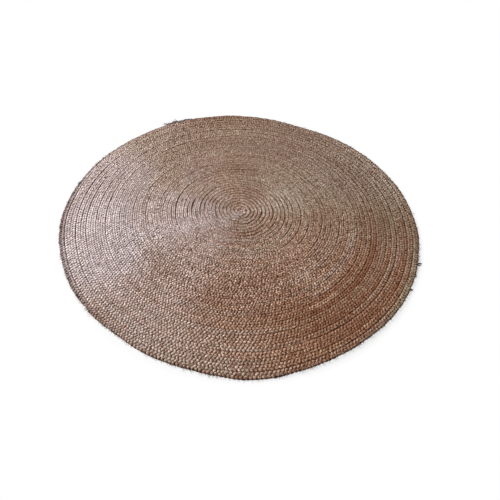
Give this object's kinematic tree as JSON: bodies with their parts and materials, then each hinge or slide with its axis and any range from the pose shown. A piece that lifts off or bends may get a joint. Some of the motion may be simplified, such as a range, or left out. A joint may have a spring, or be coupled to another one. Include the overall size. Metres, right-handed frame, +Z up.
{
  "type": "round braided jute rug",
  "caption": "Round floor rug of one jute plait, coiled flat in a spiral from the middle and sewn turn to turn.",
  "frame": {"origin": "on the floor, under the middle of the rug's box", "axes": "+Z up, out of the rug's top; seen from above with +X to the right and +Y away, the plait winds outwards clockwise and its outer end lies at the far left"},
  "size_m": [1.5032, 1.5088, 0.01],
  "materials": {
    "jute": "matte, hairy, undyed plaited jute in uneven browns"
  },
  "bodies": {
    "root": {"coiled_braid": "jute"}
  },
  "joints": []
}
